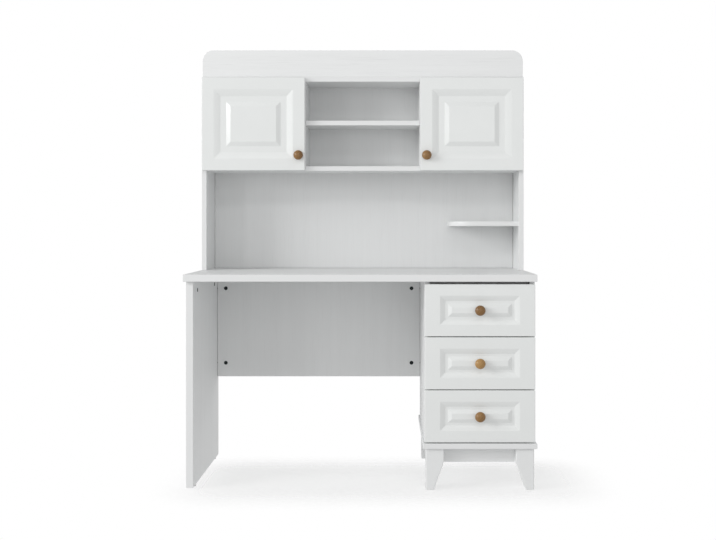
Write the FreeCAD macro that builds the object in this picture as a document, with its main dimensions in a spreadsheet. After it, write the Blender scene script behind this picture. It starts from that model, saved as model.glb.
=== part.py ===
"""Student desk with a drawer pedestal on the right and a two-door hutch, in millimetres.

+X is the sitter's right, +Y points to the wall, +Z is up. The origin lies on the floor, under the
middle of the whole desk with its drawer knobs.
"""
import FreeCAD, Part
import os
import Sketcher

Vector = FreeCAD.Vector
Rotation = FreeCAD.Rotation

# Driving dimensions in millimetres, by the piece that each belongs to.
SIZES = {
    # desktop
    "desk_width": 1230,
    "desk_depth": 600,
    "desk_height": 750,
    "top_thick": 25,
    "end_overhang": 8,
    # boards in common
    "board_thick": 18,
    "back_thick": 8,
    "joint_slot": 1.5,
    "joint_slot_depth": 4.5,
    "edge_round": 1,
    "rear_setback": 10,
    # left end panel and its glides
    "end_panel_thick": 25,
    "end_panel_setback": 20,
    "glide_height": 6,
    "glide_radius": 11,
    "glide_inset": 60,
    # modesty panel between the end panel and the pedestal
    "modesty_height": 404,
    "modesty_setback": 23,
    # cam fittings
    "cam_radius": 7.5,
    "cam_depth": 12.5,
    "cam_edge": 34,
    "cam_bolt_radius": 3,
    "cam_bolt_bite": 11,
    "modesty_cam_inset": 54,
    "upright_cam_front": 108,
    "upright_cam_rear": 110,
    "fastener_play": 0.1,
    # dowels
    "dowel_radius": 4,
    "dowel_half": 12,
    "dowel_inset": 40,
    # pedestal
    "pedestal_width": 385.5,
    "pedestal_overhang": 5.5,
    "base_overhang": 5.5,
    "foot_height": 145,
    "top_rail_depth": 80,
    "top_rail_setback": 50,
    # legs, aprons and pads
    "leg_width": 63,
    "leg_depth": 60,
    "leg_foot_width": 28,
    "leg_straight": 45,
    "leg_inset": 10,
    "leg_round": 3,
    "apron_height": 55,
    "apron_inset": 4,
    "pad_height": 2,
    "pad_radius": 10,
    # raised-panel fronts in common
    "front_thick": 18,
    "front_round": 2,
    "groove_depth": 8,
    # drawer fronts
    "drawer_setback": 10,
    "drawer_gap": 3,
    "drawer_top_gap": 9,
    "drawer_standoff": 2,
    "drawer_reveal": 0.5,
    "drawer_stile": 53,
    "drawer_rail": 39.5,
    "drawer_outer_slope": 18.5,
    "drawer_groove_flat": 9.5,
    "drawer_inner_slope": 13,
    # drawer boxes
    "box_lift": 25,
    "box_headroom": 37,
    "box_rear_gap": 94,
    "box_wall": 12,
    "box_bottom_thick": 4,
    "box_bottom_lift": 10,
    "box_groove": 5,
    "box_groove_play": 0.2,
    # drawer runners
    "runner_gap": 12.7,
    "runner_height": 42,
    "runner_end_gap": 10,
    "runner_depth": 9.5,
    "runner_wall": 1.2,
    "runner_lip": 8,
    "runner_play": 0.3,
    "runner_setback": 4,
    # turned knobs and their screws
    "knob_rim": 8.5,
    "knob_radius": 18.25,
    "knob_dome": 2,
    "knob_foot_radius": 9.5,
    "knob_foot_height": 2,
    "knob_neck_radius": 7,
    "knob_neck_height": 4.5,
    "knob_rim_height": 8,
    "knob_bore_depth": 16,
    "screw_radius": 2,
    "screw_head_radius": 4,
    "screw_head_height": 2.5,
    # hutch
    "hutch_depth": 208,
    "hutch_side_height": 720,
    "bay_height": 379,
    "niche_width": 436,
    "niche_shelf_lift": 157,
    "shelf_setback": 8,
    "shelf_play": 0.5,
    "shelf_pin_radius": 2.5,
    "shelf_pin_half": 8,
    "corner_shelf_length": 270,
    "corner_shelf_lift": 168,
    "corner_shelf_radius": 60,
    "crown_height": 102,
    "crown_reveal": 3,
    "crown_radius": 42,
    # doors
    "door_reveal": 3,
    "door_niche_reveal": 2,
    "door_bottom_reveal": 1,
    "door_top_reveal": 4,
    "door_gap": 3,
    "door_stile": 44,
    "door_rail": 44,
    "door_outer_slope": 26,
    "door_groove_flat": 22.5,
    "door_inner_slope": 17,
    "door_knob_inset": 24,
    "door_knob_lift": 58,
    # hinges: a cup sunk in the door and a goose-neck arm on the hutch side
    "hinge_inset": 72,
    "cup_edge": 4,
    "cup_radius": 17.5,
    "cup_depth": 12.5,
    "cup_wall": 1,
    "cup_wing_width": 12,
    "cup_wing_height": 58,
    "hinge_pin_inset": 8,
    "hinge_pin_depth": 8,
    "hinge_pin_radius": 1.2,
    "hinge_pin_half": 10,
    "hinge_pin_play": 0.1,
    "hinge_eye_radius": 2.1,
    "neck_thick": 2,
    "arm_width": 8,
    "arm_thick": 8,
    "arm_length": 48,
    "arm_setback": 7,
    "plate_thick": 4,
    "plate_height": 50,
    "plate_length": 36,
    # how far every cutter starts outside the wood
    "overrun": 1,
}

CROWN_DOWEL_SHARES = (-0.36, 0, 0.36)
DRAWERS = ("lower_drawer", "middle_drawer", "upper_drawer")
COORDINATES = ("DistanceX", "DistanceY")


class Size:
    """A length together with the expression that ties it to the sheet."""

    def __init__(self, text, value):
        self.text = text
        self.value = value

    def joined(self, sign, other, value):
        return Size(f"({self.text} {sign} {other.text})", value)

    def __add__(self, other):
        other = as_size(other)
        return self.joined("+", other, self.value + other.value)

    def __sub__(self, other):
        other = as_size(other)
        return self.joined("-", other, self.value - other.value)

    def __mul__(self, factor):
        factor = as_size(factor)
        return self.joined("*", factor, self.value * factor.value)

    def __truediv__(self, factor):
        factor = as_size(factor)
        return self.joined("/", factor, self.value / factor.value)

    def __neg__(self):
        return as_size(0) - self

    def __radd__(self, other):
        return as_size(other) + self

    def __rsub__(self, other):
        return as_size(other) - self

    def __rmul__(self, factor):
        return self * factor


def as_size(item):
    """A plain number as a Size."""
    return item if isinstance(item, Size) else Size(f"({item})", float(item))


class Sheet:
    """The spreadsheet of driving dimensions, read as attributes."""

    def __init__(self, document, sizes):
        self.cells = document.addObject("Spreadsheet::Sheet", "sizes")
        for row, (alias, value) in enumerate(sizes.items(), start=1):
            self.cells.set(f"A{row}", alias.replace("_", " "))
            self.cells.set(f"B{row}", str(value))
            self.cells.setAlias(f"B{row}", alias)
        document.recompute()

    def __getattr__(self, alias):
        return Size(f"sizes.{alias}", float(self.cells.get(alias)))


doc = FreeCAD.newDocument("student_desk")
s = Sheet(doc, SIZES)
nodes = []
corners = {}


def bind(thing, **sizes):
    """Tie properties of a document object to the sheet."""
    for prop, size in sizes.items():
        thing.setExpression(prop, as_size(size).text)


def put(thing, at, turn=None):
    """Place an object, with its position tied to the sheet."""
    thing.Placement = FreeCAD.Placement(Vector(), turn or Rotation())
    for axis, size in zip("xyz", at):
        thing.setExpression(f"Placement.Base.{axis}", as_size(size).text)


def new_body(name, at, turn=None):
    body = doc.addObject("PartDesign::Body", name)
    put(body, at, turn)
    corners[body.Name] = at
    return body


def node(thing, name):
    """Make an object one of the desk's pieces."""
    thing.Label = name
    nodes.append(thing)
    return thing


def group(name, members):
    """One node made of several like pieces."""
    for number, member in enumerate(members, start=1):
        member.Label = f"{name}_{number}"
    bundle = doc.addObject("Part::Compound", name)
    bundle.Links = members
    return node(bundle, name)


def origin_plane(body, role):
    return next(item for item in body.Origin.OriginFeatures if item.Role == role)


def round_edges(body, base, radius, wanted=None):
    """Round all edges of a feature, or those that a test picks out."""
    doc.recompute()
    soft = body.newObject("PartDesign::Fillet", body.Name + "_round")
    picked = ["Edge1"]
    if wanted:
        picked = [f"Edge{i}" for i, edge in enumerate(base.Shape.Edges, start=1) if wanted(edge)]
    soft.Base = (base, picked)
    soft.UseAllEdges = wanted is None
    bind(soft, Radius=radius)
    return soft


def board(name, at, extent, rounding=None):
    """Rectangular board with softened edges, its lowest corner at the given place."""
    body = new_body(name, at)
    blank = body.newObject("PartDesign::AdditiveBox", name + "_blank")
    bind(blank, Length=extent[0], Width=extent[1], Height=extent[2])
    if rounding:
        round_edges(body, blank, rounding)
    return body


TURNS = {
    "+x": Rotation(Vector(0, 1, 0), 90),
    "-x": Rotation(Vector(0, 1, 0), -90),
    "+y": Rotation(Vector(1, 0, 0), -90),
    "-y": Rotation(Vector(1, 0, 0), 90),
    "+z": Rotation(),
    "-z": Rotation(Vector(1, 0, 0), 180),
}


def reverse(direction):
    """The opposite of one of the six main directions."""
    return {"+": "-", "-": "+"}[direction[0]] + direction[1]


def along(at, direction, distance):
    """The place at a distance from another one in one of the six main directions."""
    moved = list(at)
    axis = "xyz".index(direction[1])
    moved[axis] = moved[axis] + distance if direction[0] == "+" else moved[axis] - distance
    return moved


def drill(body, mouth, direction, radius, depth):
    """Blind round hole from a place on the surface into the wood."""
    start = along(mouth, direction, -s.overrun)
    local = [as_size(a) - b for a, b in zip(start, corners[body.Name])]
    cutter = body.newObject("PartDesign::SubtractiveCylinder", body.Name + "_hole")
    bind(cutter, Radius=radius, Height=depth + s.overrun)
    put(cutter, local, TURNS[direction])
    return cutter


def groove(body, at, extent):
    """Straight rectangular groove cut out of a board."""
    local = [as_size(a) - b for a, b in zip(at, corners[body.Name])]
    cutter = body.newObject("PartDesign::SubtractiveBox", body.Name + "_groove")
    bind(cutter, Length=extent[0], Width=extent[1], Height=extent[2])
    put(cutter, local)
    return cutter


def turned(name, at, direction, steps):
    """Stepped round piece: radius and length of each step along its axis."""
    body = new_body(name, at, TURNS[direction])
    height = as_size(0)
    for radius, length in steps:
        step = body.newObject("PartDesign::AdditiveCylinder", name + "_step")
        bind(step, Radius=radius, Height=length)
        put(step, (0, 0, height))
        height = height + length
    return body


def pin_coordinate(sketch, geometry, end, kind, item):
    """Hold one coordinate of a sketch's vertex: on the sketch's own axis, or at a size tied to the sheet."""
    size = as_size(item)
    if size.value == 0:
        axis_line = {"DistanceX": -2, "DistanceY": -1}[kind]
        sketch.addConstraint(Sketcher.Constraint("PointOnObject", geometry, end, axis_line))
        return
    index = sketch.addConstraint(Sketcher.Constraint(kind, -1, 1, geometry, end, size.value))
    sketch.setExpression(f"Constraints[{index}]", size.text)


def flat_point(point):
    return Vector(as_size(point[0]).value, as_size(point[1]).value, 0)


def outline(body, name, plane, points, bends=None):
    """Closed sketch on one of the body's own planes.

    A bend turns the side after a point into an arc: it gives the arc's centre, and which coordinate of the
    centre is held. The other one follows from the two ends.
    """
    sketch = body.newObject("Sketcher::SketchObject", name)
    sketch.AttachmentSupport = (origin_plane(body, plane), [""])
    sketch.MapMode = "FlatFace"
    bends = bends or {}
    count = len(points)
    ends = []
    for i in range(count):
        start = flat_point(points[i])
        end = flat_point(points[(i + 1) % count])
        if i not in bends:
            sketch.addGeometry(Part.LineSegment(start, end), False)
            ends.append((1, 2))
            continue
        centre = flat_point(bends[i][0])
        forward = (start - centre).cross(end - centre).z >= 0
        first, last = (start, end) if forward else (end, start)
        circle = Part.Circle(centre, Vector(0, 0, 1), (start - centre).Length)
        sketch.addGeometry(Part.ArcOfCircle(circle, circle.parameter(first), circle.parameter(last)), False)
        ends.append((1, 2) if forward else (2, 1))
    for i in range(count):
        following = (i + 1) % count
        sketch.addConstraint(
            Sketcher.Constraint("Coincident", i, ends[i][1], following, ends[following][0]))
    for i in range(count):
        pin_coordinate(sketch, i, ends[i][0], "DistanceX", points[i][0])
        pin_coordinate(sketch, i, ends[i][0], "DistanceY", points[i][1])
    for i, (centre, kind) in bends.items():
        pin_coordinate(sketch, i, 3, kind, centre[COORDINATES.index(kind)])
    return sketch


def bar(name, at, points, length):
    """Straight bar of constant section, drawn across X and Z and run back along Y."""
    body = new_body(name, at)
    section = outline(body, name + "_section", "XZ_Plane", points)
    pad = body.newObject("PartDesign::Pad", name + "_run")
    pad.Profile = section
    pad.Reversed = True
    bind(pad, Length=length)
    return body


def arc_radius(rise, half_chord):
    """Radius of the arc that rises by one length over the other."""
    return (rise * rise + half_chord * half_chord) / (2 * rise)


def raised_panel(name, at, width, height, stile, rail, slopes):
    """Routed front: a flat frame, and a field in a groove with a bevel on either side."""
    body = board(name, at, (width, s.front_thick, height), s.front_round)
    outer, flat, inner = slopes
    path = outline(body, name + "_path", "XZ_Plane", [
        (width / 2, rail),
        (width - stile, rail),
        (width - stile, height - rail),
        (stile, height - rail),
        (stile, rail),
    ])
    field = rail + outer + flat + inner
    cutter = outline(body, name + "_cutter", "YZ_Plane", [
        (0, rail),
        (s.groove_depth, rail + outer),
        (s.groove_depth, rail + outer + flat),
        (0, field),
    ])
    bind(cutter, **{"AttachmentOffset.Base.z": width / 2})
    doc.recompute()
    rout = body.newObject("PartDesign::SubtractivePipe", name + "_rout")
    rout.Profile = cutter
    rout.Spine = path
    rout.Transition = "Right corner"
    return node(body, name)


def knob(name, at):
    """Turned knob, its foot on the front and its domed head towards the sitter."""
    body = new_body(name, at, Rotation(Vector(0, 0, 1), 180))
    rim = s.knob_radius - s.knob_rim
    low = s.knob_rim_height
    high = low + 2 * s.knob_rim
    cove = s.knob_neck_radius + arc_radius(rim - s.knob_neck_radius, low - s.knob_neck_height)
    dome = knob_length - arc_radius(s.knob_dome, rim)
    profile = outline(body, name + "_profile", "XY_Plane", [
        (0, 0),
        (s.knob_foot_radius, 0),
        (s.knob_foot_radius, s.knob_foot_height),
        (s.knob_neck_radius, s.knob_neck_height),
        (rim, low),
        (rim, high),
        (0, knob_length),
    ], {
        3: ((cove, s.knob_neck_height), "DistanceY"),
        4: ((rim, low + s.knob_rim), "DistanceX"),
        5: ((0, dome), "DistanceX"),
    })
    head = body.newObject("PartDesign::Revolution", name + "_turning")
    head.Profile = profile
    head.ReferenceAxis = (profile, ["V_Axis"])
    head.Angle = 360
    bore = body.newObject("PartDesign::SubtractiveCylinder", name + "_bore")
    bind(bore, Radius=s.screw_radius + s.fastener_play, Height=s.knob_bore_depth + s.overrun)
    put(bore, (0, -s.overrun, 0), TURNS["+y"])
    return node(body, name)


def knob_screw(name, at, length):
    """Pan-head screw from behind a front into its knob."""
    body = turned(name, at, "-y", [(s.screw_head_radius, s.screw_head_height), (s.screw_radius, length)])
    return node(body, name)


# Shared planes of the desk
knob_length = s.knob_rim_height + 2 * s.knob_rim + s.knob_dome
front_edge = -(s.desk_depth - (knob_length - s.drawer_setback)) / 2
rear_edge = front_edge + s.desk_depth
upright_rear = rear_edge - s.rear_setback
half_width = s.desk_width / 2
top_underside = s.desk_height - s.top_thick
end_panel_left = -half_width + s.end_overhang
end_panel_inner = end_panel_left + s.end_panel_thick
pedestal_right = half_width - s.pedestal_overhang
pedestal_left = pedestal_right - s.pedestal_width
pedestal_inner_left = pedestal_left + s.board_thick
pedestal_inner_right = pedestal_right - s.board_thick
base_top = s.foot_height + s.board_thick
drawer_face = front_edge + s.drawer_setback
drawer_back = drawer_face + s.front_thick
pedestal_front = drawer_back + s.drawer_standoff
hutch_front = rear_edge - s.hutch_depth
hutch_back_face = rear_edge - s.back_thick
hutch_inner = half_width - s.board_thick
bay_top = s.desk_height + s.bay_height
niche_floor = bay_top + s.board_thick
hutch_shoulder = s.desk_height + s.hutch_side_height
hutch_roof = hutch_shoulder + s.board_thick

# Desktop, end panel, modesty panel and glides
desktop = board("desktop", (-half_width, front_edge, top_underside),
                (s.desk_width, s.desk_depth, s.top_thick), 2 * s.edge_round)
left_end_panel = board(
    "left_end_panel", (end_panel_left, front_edge + s.end_panel_setback, s.glide_height),
    (s.end_panel_thick, upright_rear - front_edge - s.end_panel_setback, top_underside - s.glide_height),
    s.edge_round)
modesty_front = rear_edge - s.modesty_setback - s.board_thick
modesty_low = top_underside - s.modesty_height
modesty_panel = board(
    "modesty_panel", (end_panel_inner, modesty_front, modesty_low),
    (pedestal_left - end_panel_inner, s.board_thick, s.modesty_height), s.edge_round)
# A narrow slot shows where the panel meets the end panel and the pedestal
for slot_x in (end_panel_inner, pedestal_left - s.joint_slot):
    groove(modesty_panel, (slot_x, modesty_front, modesty_low),
           (s.joint_slot, s.joint_slot_depth, s.modesty_height))
glide_x = end_panel_left + s.end_panel_thick / 2
glides = []
for glide_y in (front_edge + s.end_panel_setback + s.glide_inset, upright_rear - s.glide_inset):
    glides.append(turned("glide", (glide_x, glide_y, 0), "+z", [(s.glide_radius, s.glide_height)]))

# Pedestal carcass
upright_depth = upright_rear - pedestal_front
pedestal_height = top_underside - base_top
pedestal_left_side = board("pedestal_left_side", (pedestal_left, pedestal_front, base_top),
                           (s.board_thick, upright_depth, pedestal_height), s.edge_round)
pedestal_right_side = board("pedestal_right_side", (pedestal_inner_right, pedestal_front, base_top),
                            (s.board_thick, upright_depth, pedestal_height), s.edge_round)
pedestal_inside = pedestal_inner_right - pedestal_inner_left
pedestal_back_face = upright_rear - s.back_thick
rail_low = top_underside - s.board_thick
top_rails = []
for rail_y in (pedestal_front + s.top_rail_setback, pedestal_back_face - s.top_rail_depth):
    top_rails.append(board("top_rail", (pedestal_inner_left, rail_y, rail_low),
                           (pedestal_inside, s.top_rail_depth, s.board_thick)))
pedestal_back = board("pedestal_back_panel", (pedestal_inner_left, pedestal_back_face, base_top),
                      (pedestal_inside, s.back_thick, pedestal_height))
base_left = pedestal_left - s.base_overhang
base_width = s.base_overhang + s.pedestal_width + s.pedestal_overhang
base_board = board("pedestal_base_board", (base_left, front_edge, s.foot_height),
                   (base_width, upright_rear - front_edge, s.board_thick), 2 * s.edge_round)
for piece in (desktop, left_end_panel, modesty_panel, pedestal_left_side, pedestal_right_side,
              pedestal_back, base_board):
    node(piece, piece.Name)
group("floor_glides", glides)
group("pedestal_top_rails", top_rails)

# Legs: a square block above, one sloping inner side below
leg_height = s.foot_height - s.pad_height
leg_taper = leg_height - s.leg_straight
base_right = base_left + base_width
leg_left = base_left + s.leg_inset
leg_right = base_right - s.leg_inset - s.leg_width
leg_front = front_edge + s.leg_inset
leg_rear = upright_rear - s.leg_inset - s.leg_depth
LEFT_TAPER = [(s.leg_foot_width, 0), (s.leg_width, 0), (s.leg_width, leg_taper)]
RIGHT_TAPER = [(0, 0), (s.leg_width - s.leg_foot_width, 0), (0, leg_taper)]
pads = []
for label, leg_x, leg_y, taper, foot_x in (
        ("front_left_leg", leg_left, leg_front, LEFT_TAPER, s.leg_foot_width / 2),
        ("front_right_leg", leg_right, leg_front, RIGHT_TAPER, s.leg_width - s.leg_foot_width / 2),
        ("rear_left_leg", leg_left, leg_rear, LEFT_TAPER, s.leg_foot_width / 2),
        ("rear_right_leg", leg_right, leg_rear, RIGHT_TAPER, s.leg_width - s.leg_foot_width / 2)):
    leg = board(label, (leg_x, leg_y, s.pad_height), (s.leg_width, s.leg_depth, leg_height))
    wedge = outline(leg, label + "_wedge", "XZ_Plane", taper)
    doc.recompute()
    cut = leg.newObject("PartDesign::Pocket", label + "_taper")
    cut.Profile = wedge
    cut.Type = "ThroughAll"
    round_edges(leg, cut, s.leg_round)
    node(leg, label)
    pads.append(turned("pad", (leg_x + foot_x, leg_y + s.leg_depth / 2, 0), "+z",
                       [(s.pad_radius, s.pad_height)]))
group("leg_pads", pads)

# Aprons: the long ones join the legs side to side, the short ones front to rear
apron_low = s.foot_height - s.apron_height
apron_x = leg_left + s.leg_width
apron_length = leg_right - apron_x
apron_back = s.leg_depth - s.board_thick
node(board("front_apron", (apron_x, leg_front + apron_back, apron_low),
           (apron_length, s.board_thick, s.apron_height)), "front_apron")
node(board("rear_apron", (apron_x, leg_rear, apron_low),
           (apron_length, s.board_thick, s.apron_height)), "rear_apron")
side_aprons = []
apron_y = leg_front + s.leg_depth
for side_x in (leg_left + s.apron_inset, base_right - s.leg_inset - s.apron_inset - s.board_thick):
    side_aprons.append(board("side_apron", (side_x, apron_y, s.foot_height - s.leg_straight),
                             (s.board_thick, leg_rear - apron_y, s.leg_straight)))
group("side_aprons", side_aprons)

# Hutch carcass
hutch_left_side = board("hutch_left_side", (-half_width, hutch_front, s.desk_height),
                        (s.board_thick, s.hutch_depth, s.hutch_side_height), s.edge_round)
hutch_right_side = board("hutch_right_side", (hutch_inner, hutch_front, s.desk_height),
                         (s.board_thick, s.hutch_depth, s.hutch_side_height), s.edge_round)
hutch_top = board("hutch_top_board", (-half_width, hutch_front, hutch_shoulder),
                  (s.desk_width, s.hutch_depth, s.board_thick), s.edge_round)
inner_depth = hutch_back_face - hutch_front
hutch_bottom = board("hutch_bottom_board", (-hutch_inner, hutch_front, bay_top),
                     (2 * hutch_inner, inner_depth, s.board_thick), s.edge_round)
niche_half = s.niche_width / 2
divider_height = hutch_shoulder - niche_floor
left_divider = board("left_divider", (-niche_half - s.board_thick, hutch_front, niche_floor),
                     (s.board_thick, inner_depth, divider_height), s.edge_round)
right_divider = board("right_divider", (niche_half, hutch_front, niche_floor),
                      (s.board_thick, inner_depth, divider_height), s.edge_round)
hutch_back = board("hutch_back_panel", (-hutch_inner, hutch_back_face, s.desk_height),
                   (2 * hutch_inner, s.back_thick, s.hutch_side_height))
# A narrow slot shows where the back meets the two sides and the desktop
for slot_x in (-hutch_inner, hutch_inner - s.joint_slot):
    groove(hutch_back, (slot_x, hutch_back_face, s.desk_height),
           (s.joint_slot, s.joint_slot_depth, s.hutch_side_height))
groove(hutch_back, (-hutch_inner, hutch_back_face, s.desk_height),
       (2 * hutch_inner, s.joint_slot_depth, s.joint_slot))
shelf_low = niche_floor + s.niche_shelf_lift
niche_shelf = board("niche_shelf", (-niche_half + s.shelf_play, hutch_front + s.shelf_setback, shelf_low),
                    (s.niche_width - 2 * s.shelf_play, inner_depth - s.shelf_setback, s.board_thick),
                    s.edge_round)
for piece in (hutch_left_side, hutch_right_side, hutch_top, hutch_bottom, left_divider, right_divider,
              hutch_back, niche_shelf):
    node(piece, piece.Name)

# Crown board on the front of the roof, its two upper corners rounded
crown_width = s.desk_width - 2 * s.crown_reveal
crown = new_body("crown_board", (-crown_width / 2, hutch_front, hutch_roof))
crown_blank = crown.newObject("PartDesign::AdditiveBox", "crown_blank")
bind(crown_blank, Length=crown_width, Width=s.board_thick, Height=s.crown_height)


def upper_corner(edge):
    ends = [vertex.Point for vertex in edge.Vertexes]
    level = all(abs(end.z - s.crown_height.value) < s.edge_round.value for end in ends)
    return level and abs(ends[0].x - ends[1].x) < s.edge_round.value


crown_corners = round_edges(crown, crown_blank, s.crown_radius, upper_corner)
round_edges(crown, crown_corners, s.edge_round)
node(crown, "crown_board")

# Corner shelf on the right, its free front corner rounded
corner_shelf_low = s.desk_height + s.corner_shelf_lift
corner_shelf_x = hutch_inner - s.corner_shelf_length
corner_shelf = new_body("corner_shelf", (corner_shelf_x, hutch_front + s.shelf_setback, corner_shelf_low))
shelf_blank = corner_shelf.newObject("PartDesign::AdditiveBox", "corner_shelf_blank")
corner_shelf_depth = inner_depth - s.shelf_setback
bind(shelf_blank, Length=s.corner_shelf_length, Width=corner_shelf_depth, Height=s.board_thick)


def free_corner(edge):
    return all(vertex.Point.x + vertex.Point.y < s.edge_round.value for vertex in edge.Vertexes)


shelf_corner = round_edges(corner_shelf, shelf_blank, s.corner_shelf_radius, free_corner)
round_edges(corner_shelf, shelf_corner, s.edge_round)
node(corner_shelf, "corner_shelf")

# Pins that carry the niche shelf
pin_level = shelf_low - s.shelf_pin_radius
pins = []
for divider, wall_x, direction in ((left_divider, -niche_half, "-x"), (right_divider, niche_half, "+x")):
    for pin_y in (hutch_front + s.dowel_inset, hutch_back_face - s.dowel_inset):
        mouth = (wall_x, pin_y, pin_level)
        drill(divider, mouth, direction, s.shelf_pin_radius + s.fastener_play,
              s.shelf_pin_half + s.fastener_play)
        pins.append(turned("pin", along(mouth, direction, -s.shelf_pin_half), direction,
                           [(s.shelf_pin_radius, 2 * s.shelf_pin_half)]))
group("shelf_pins", pins)

# Cam fittings: a cam across the board and a bolt from its rim into the neighbour
cam_pieces = []


def cam_fitting(carrier, face_point, cam_direction, neighbour, bolt_direction):
    """Cam sunk in the carrier's face and its bolt, which bites into the neighbour past the carrier's end."""
    bore = s.cam_radius + s.fastener_play
    drill(carrier, face_point, cam_direction, bore, s.cam_depth + s.fastener_play)
    cam_pieces.append(turned("cam", face_point, cam_direction, [(s.cam_radius, s.cam_depth)]))
    axis_point = along(face_point, cam_direction, s.cam_depth / 2)
    joint = along(axis_point, bolt_direction, s.cam_edge)
    bolt_bore = s.cam_bolt_radius + s.fastener_play
    drill(carrier, joint, reverse(bolt_direction), bolt_bore, s.cam_edge)
    drill(neighbour, joint, bolt_direction, bolt_bore, s.cam_bolt_bite + s.fastener_play)
    bolt_start = along(axis_point, bolt_direction, bore)
    bolt_length = s.cam_edge - bore + s.cam_bolt_bite
    cam_pieces.append(turned("cam_bolt", bolt_start, bolt_direction, [(s.cam_bolt_radius, bolt_length)]))


for cam_z in (modesty_low + s.modesty_cam_inset, top_underside - s.modesty_cam_inset):
    cam_fitting(modesty_panel, (end_panel_inner + s.cam_edge, modesty_front, cam_z), "+y",
                left_end_panel, "-x")
    cam_fitting(modesty_panel, (pedestal_left - s.cam_edge, modesty_front, cam_z), "+y",
                pedestal_left_side, "+x")
for cam_y in (front_edge + s.upright_cam_front, rear_edge - s.upright_cam_rear):
    for upright, face_x, direction in ((left_end_panel, end_panel_inner, "-x"),
                                       (pedestal_left_side, pedestal_inner_left, "-x"),
                                       (pedestal_right_side, pedestal_inner_right, "+x")):
        cam_fitting(upright, (face_x, cam_y, top_underside - s.cam_edge), direction, desktop, "+z")
group("cam_fittings", cam_pieces)

# Dowels, half in each of the two boards that they join
dowels = []


def dowel(first, second, joint, direction):
    """Dowel across a joint, from the first board into the second."""
    back = reverse(direction)
    bore = s.dowel_radius + s.fastener_play
    depth = s.dowel_half + s.fastener_play
    drill(first, joint, back, bore, depth)
    drill(second, joint, direction, bore, depth)
    dowels.append(turned("dowel", along(joint, back, s.dowel_half), direction,
                         [(s.dowel_radius, 2 * s.dowel_half)]))


side_middle = half_width - s.board_thick / 2
divider_middle = niche_half + s.board_thick / 2
for dowel_y in (hutch_front + s.dowel_inset, hutch_back_face - s.dowel_inset):
    for side, sign, outward in ((hutch_left_side, -1, "-x"), (hutch_right_side, 1, "+x")):
        dowel(desktop, side, (sign * side_middle, dowel_y, s.desk_height), "+z")
        dowel(side, hutch_top, (sign * side_middle, dowel_y, hutch_shoulder), "+z")
        dowel(hutch_bottom, side, (sign * hutch_inner, dowel_y, bay_top + s.board_thick / 2), outward)
    for divider, sign in ((left_divider, -1), (right_divider, 1)):
        dowel(hutch_bottom, divider, (sign * divider_middle, dowel_y, niche_floor), "+z")
        dowel(divider, hutch_top, (sign * divider_middle, dowel_y, hutch_shoulder), "+z")
    dowel(corner_shelf, hutch_right_side,
          (hutch_inner, dowel_y, corner_shelf_low + s.board_thick / 2), "+x")
for share in CROWN_DOWEL_SHARES:
    dowel(hutch_top, crown, (s.desk_width * share, hutch_front + s.board_thick / 2, hutch_roof), "+z")
group("dowels", dowels)

# Drawers
drawer_height = (top_underside - base_top - s.drawer_top_gap) / len(DRAWERS) - s.drawer_gap
drawer_width = s.pedestal_width - 2 * s.drawer_reveal
drawer_x = pedestal_left + s.drawer_reveal
drawer_middle = pedestal_left + s.pedestal_width / 2
box_left = pedestal_inner_left + s.runner_gap
box_right = pedestal_inner_right - s.runner_gap
box_inside = box_right - box_left - 2 * s.box_wall
box_height = drawer_height - s.box_lift - s.box_headroom
box_length = pedestal_back_face - s.box_rear_gap - drawer_back
runner_length = box_length - s.runner_end_gap
runner_y = pedestal_front + s.runner_setback
# sections of the fixed channel and of the rail that runs in it, for the left-hand side
u_web, u_lip = s.runner_wall, s.runner_depth - s.runner_wall
v_low, v_high = s.runner_wall, s.runner_height - s.runner_wall
CHANNEL = [
    (0, 0), (s.runner_depth, 0), (s.runner_depth, s.runner_lip), (u_lip, s.runner_lip), (u_lip, v_low),
    (u_web, v_low), (u_web, v_high), (u_lip, v_high), (u_lip, s.runner_height - s.runner_lip),
    (s.runner_depth, s.runner_height - s.runner_lip), (s.runner_depth, s.runner_height),
    (0, s.runner_height),
]
head_thick = u_lip - u_web - 2 * s.runner_play
head_height = v_high - v_low - 2 * s.runner_play
rail_reach = s.runner_gap - u_web - s.runner_play
stem_low = s.runner_lip + s.runner_play - v_low - s.runner_play
stem_high = head_height - stem_low
RAIL = [
    (0, 0), (head_thick, 0), (head_thick, stem_low), (rail_reach, stem_low), (rail_reach, stem_high),
    (head_thick, stem_high), (head_thick, head_height), (0, head_height),
]


def mirrored(points, width):
    """The same section for the right-hand side."""
    return [(width - as_size(x), z) for x, z in points]


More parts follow.
